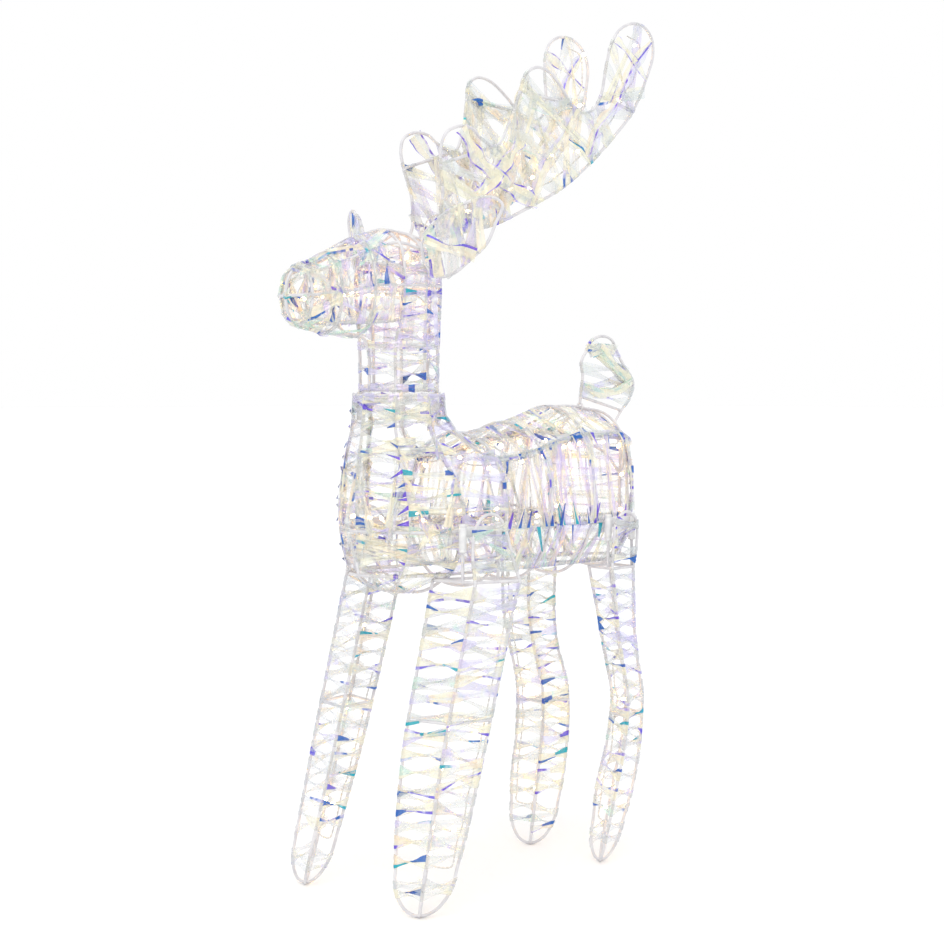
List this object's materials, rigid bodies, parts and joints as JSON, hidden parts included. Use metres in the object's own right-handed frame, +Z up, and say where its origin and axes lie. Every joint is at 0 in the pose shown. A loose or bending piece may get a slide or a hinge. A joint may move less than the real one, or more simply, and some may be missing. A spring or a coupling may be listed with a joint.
{
  "type": "light up yard reindeer",
  "caption": "Standing buck reindeer of white coated wire cages wound with clear iridescent ribbon and warm string lights; head, antlers and legs pull off, tail folds.",
  "frame": {"origin": "on the ground under the middle of the box", "axes": "+Z up, the deer faces -Y, its left side is +X"},
  "size_m": [0.3182, 0.667, 1.2191],
  "materials": {
    "coated_wire": "satin white powder coat",
    "ribbon_film": "clear iridescent film, glossy",
    "string_lights": "clear leads and warm white bulbs",
    "socket_steel": "satin white coated steel tube"
  },
  "bodies": {
    "body": {"body_frame": "coated_wire", "back_film": "ribbon_film", "chest_film": "ribbon_film", "rump_film": "ribbon_film", "side_film_left": "ribbon_film", "side_film_right": "ribbon_film", "body_lights_left": "string_lights", "body_lights_right": "string_lights", "neck_sleeve_front_left": "socket_steel", "neck_sleeve_front_right": "socket_steel", "neck_sleeve_rear_left": "socket_steel", "neck_sleeve_rear_right": "socket_steel", "front_leg_socket_left": "socket_steel", "front_leg_socket_right": "socket_steel", "rear_leg_socket_left": "socket_steel", "rear_leg_socket_right": "socket_steel"},
    "head": {"head_frame": "coated_wire", "muzzle_film": "ribbon_film", "crown_film": "ribbon_film", "upper_neck_film": "ribbon_film", "head_lights": "string_lights", "ear_frame_left": "coated_wire", "ear_frame_right": "coated_wire", "ear_film_left": "ribbon_film", "ear_film_right": "ribbon_film", "antler_socket_left": "socket_steel", "antler_socket_right": "socket_steel"},
    "tail": {"tail_frame": "coated_wire", "tail_film": "ribbon_film"},
    "antler_left": {"antler_frame_left": "coated_wire", "antler_film_left": "ribbon_film", "antler_lights_left": "string_lights"},
    "antler_right": {"antler_frame_right": "coated_wire", "antler_film_right": "ribbon_film", "antler_lights_right": "string_lights"},
    "front_leg_left": {"front_leg_frame_left": "coated_wire", "front_leg_film_left": "ribbon_film", "front_leg_lights_left": "string_lights"},
    "front_leg_right": {"front_leg_frame_right": "coated_wire", "front_leg_film_right": "ribbon_film", "front_leg_lights_right": "string_lights"},
    "rear_leg_left": {"rear_leg_frame_left": "coated_wire", "rear_leg_film_left": "ribbon_film", "rear_leg_lights_left": "string_lights"},
    "rear_leg_right": {"rear_leg_frame_right": "coated_wire", "rear_leg_film_right": "ribbon_film", "rear_leg_lights_right": "string_lights"}
  },
  "joints": [
    {"name": "head_lift", "type": "slide", "parent": "body", "child": "head", "axis": [0, 0, 1], "range_m": [0, 0.036]},
    {"name": "antler_lift_left", "type": "slide", "parent": "head", "child": "antler_left", "axis": [0, 0, 1], "range_m": [0, 0.028]},
    {"name": "antler_lift_right", "type": "slide", "parent": "head", "child": "antler_right", "axis": [0, 0, 1], "range_m": [0, 0.028]},
    {"name": "front_leg_drop_left", "type": "slide", "parent": "body", "child": "front_leg_left", "axis": [0, 0, 1], "range_m": [-0.034, 0]},
    {"name": "front_leg_drop_right", "type": "slide", "parent": "body", "child": "front_leg_right", "axis": [0, 0, 1], "range_m": [-0.034, 0]},
    {"name": "rear_leg_drop_left", "type": "slide", "parent": "body", "child": "rear_leg_left", "axis": [0, 0, 1], "range_m": [-0.034, 0]},
    {"name": "rear_leg_drop_right", "type": "slide", "parent": "body", "child": "rear_leg_right", "axis": [0, 0, 1], "range_m": [-0.034, 0]},
    {"name": "tail_fold", "type": "hinge", "parent": "body", "child": "tail", "pos_m": [0, 0.2137, 0.6605], "axis": [0, 0.9143, -0.4049], "range_deg": [-62, 62]}
  ]
}
